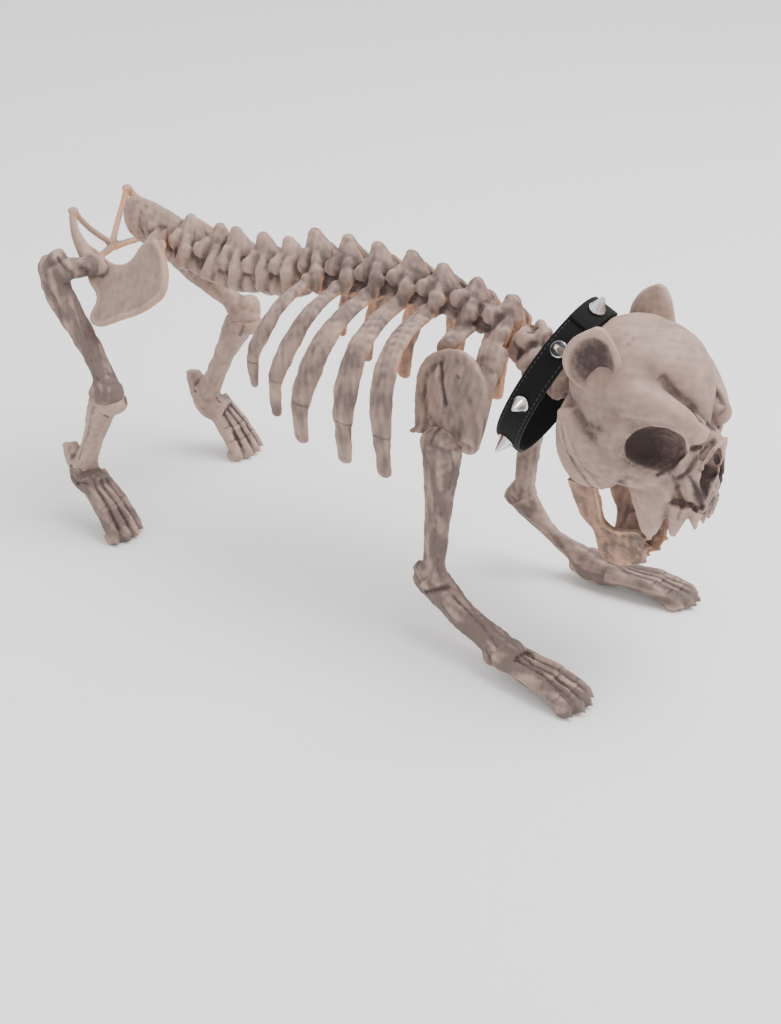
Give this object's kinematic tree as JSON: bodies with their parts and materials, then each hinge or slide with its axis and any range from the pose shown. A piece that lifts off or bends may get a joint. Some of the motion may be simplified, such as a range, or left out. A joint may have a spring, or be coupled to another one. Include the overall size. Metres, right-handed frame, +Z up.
{
  "type": "plastic dog skeleton prop",
  "caption": "Standing bulldog skeleton decoration in moulded plastic, jaw hanging open, with ears, bare rib cage, splayed legs and a spiked webbing collar.",
  "frame": {"origin": "centre of the bounding box on the plane of the soles", "axes": "+X towards the nose, +Y to the dog's left, +Z up"},
  "size_m": [0.4606, 0.1708, 0.2239],
  "materials": {
    "bone": "matte grey-pink bone colour with a dark brown wash in the hollows",
    "webbing": "black woven strap with stitched edges",
    "chrome": "bright plated cones"
  },
  "bodies": {
    "root": {"chest_left": "bone", "chest_right": "bone", "collar_strap": "webbing", "ear_left": "bone", "ear_right": "bone", "femur_left": "bone", "femur_right": "bone", "fore_paw_left": "bone", "fore_paw_right": "bone", "forearm_left": "bone", "forearm_right": "bone", "hind_foot_left": "bone", "hind_foot_right": "bone", "hip_bone_left": "bone", "hip_bone_right": "bone", "humerus_left": "bone", "humerus_right": "bone", "jaw": "bone", "loin": "bone", "neck": "bone", "sacrum": "bone", "shin_left": "bone", "shin_right": "bone", "shoulder_blade_left": "bone", "shoulder_blade_right": "bone", "skull": "bone", "stud_1": "chrome", "stud_2": "chrome", "stud_3": "chrome", "stud_4": "chrome", "stud_5": "chrome", "stud_6": "chrome", "stud_7": "chrome"}
  },
  "joints": []
}
